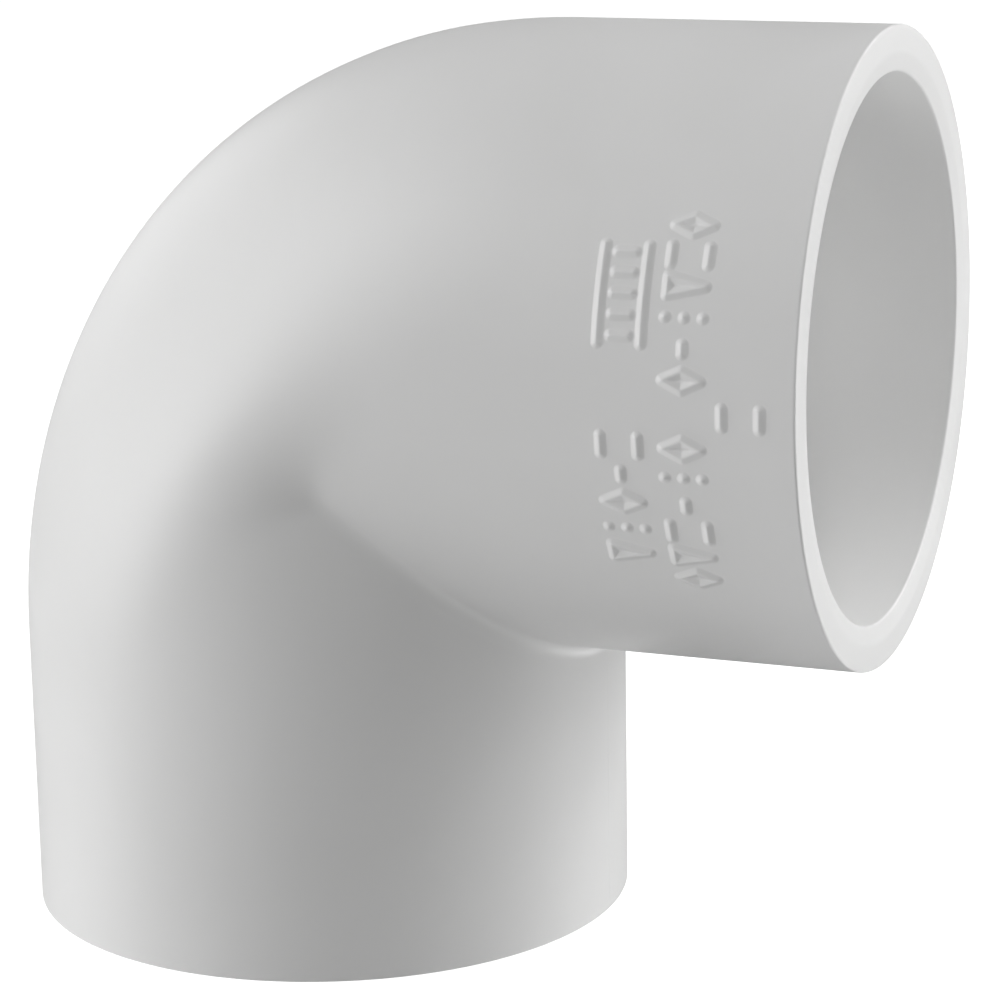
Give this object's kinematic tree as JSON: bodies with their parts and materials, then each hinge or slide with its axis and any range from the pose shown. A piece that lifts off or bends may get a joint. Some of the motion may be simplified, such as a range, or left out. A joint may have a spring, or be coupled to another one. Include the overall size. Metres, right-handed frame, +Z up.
{
  "type": "pipe elbow fitting",
  "caption": "Ninety degree elbow with two equal slip sockets, a rounded back, a mitred throat and bevelled rims; turns a solvent-welded pipe through a right angle.",
  "frame": {"origin": "centre of the lower (inlet) socket's mouth, on the plane of its rim, which is the plane that the fitting stands on", "axes": "+Z up along the lower socket's axis, into the fitting; the other socket's axis is parallel to +X at z = 68.5 mm and opens towards +X; Y = 0 is the plane of symmetry that holds both axes; raised marks face -Y"},
  "size_m": [0.1038, 0.071, 0.1038],
  "materials": {
    "white_pvc": "moulded rigid plastic, low sheen, faintly waxy"
  },
  "bodies": {
    "root": {"bend": "white_pvc", "inlet_socket": "white_pvc", "outlet_socket": "white_pvc", "marks_outer_row": "white_pvc", "marks_inner_row": "white_pvc", "marks_panel": "white_pvc", "mark_single": "white_pvc"}
  },
  "joints": []
}
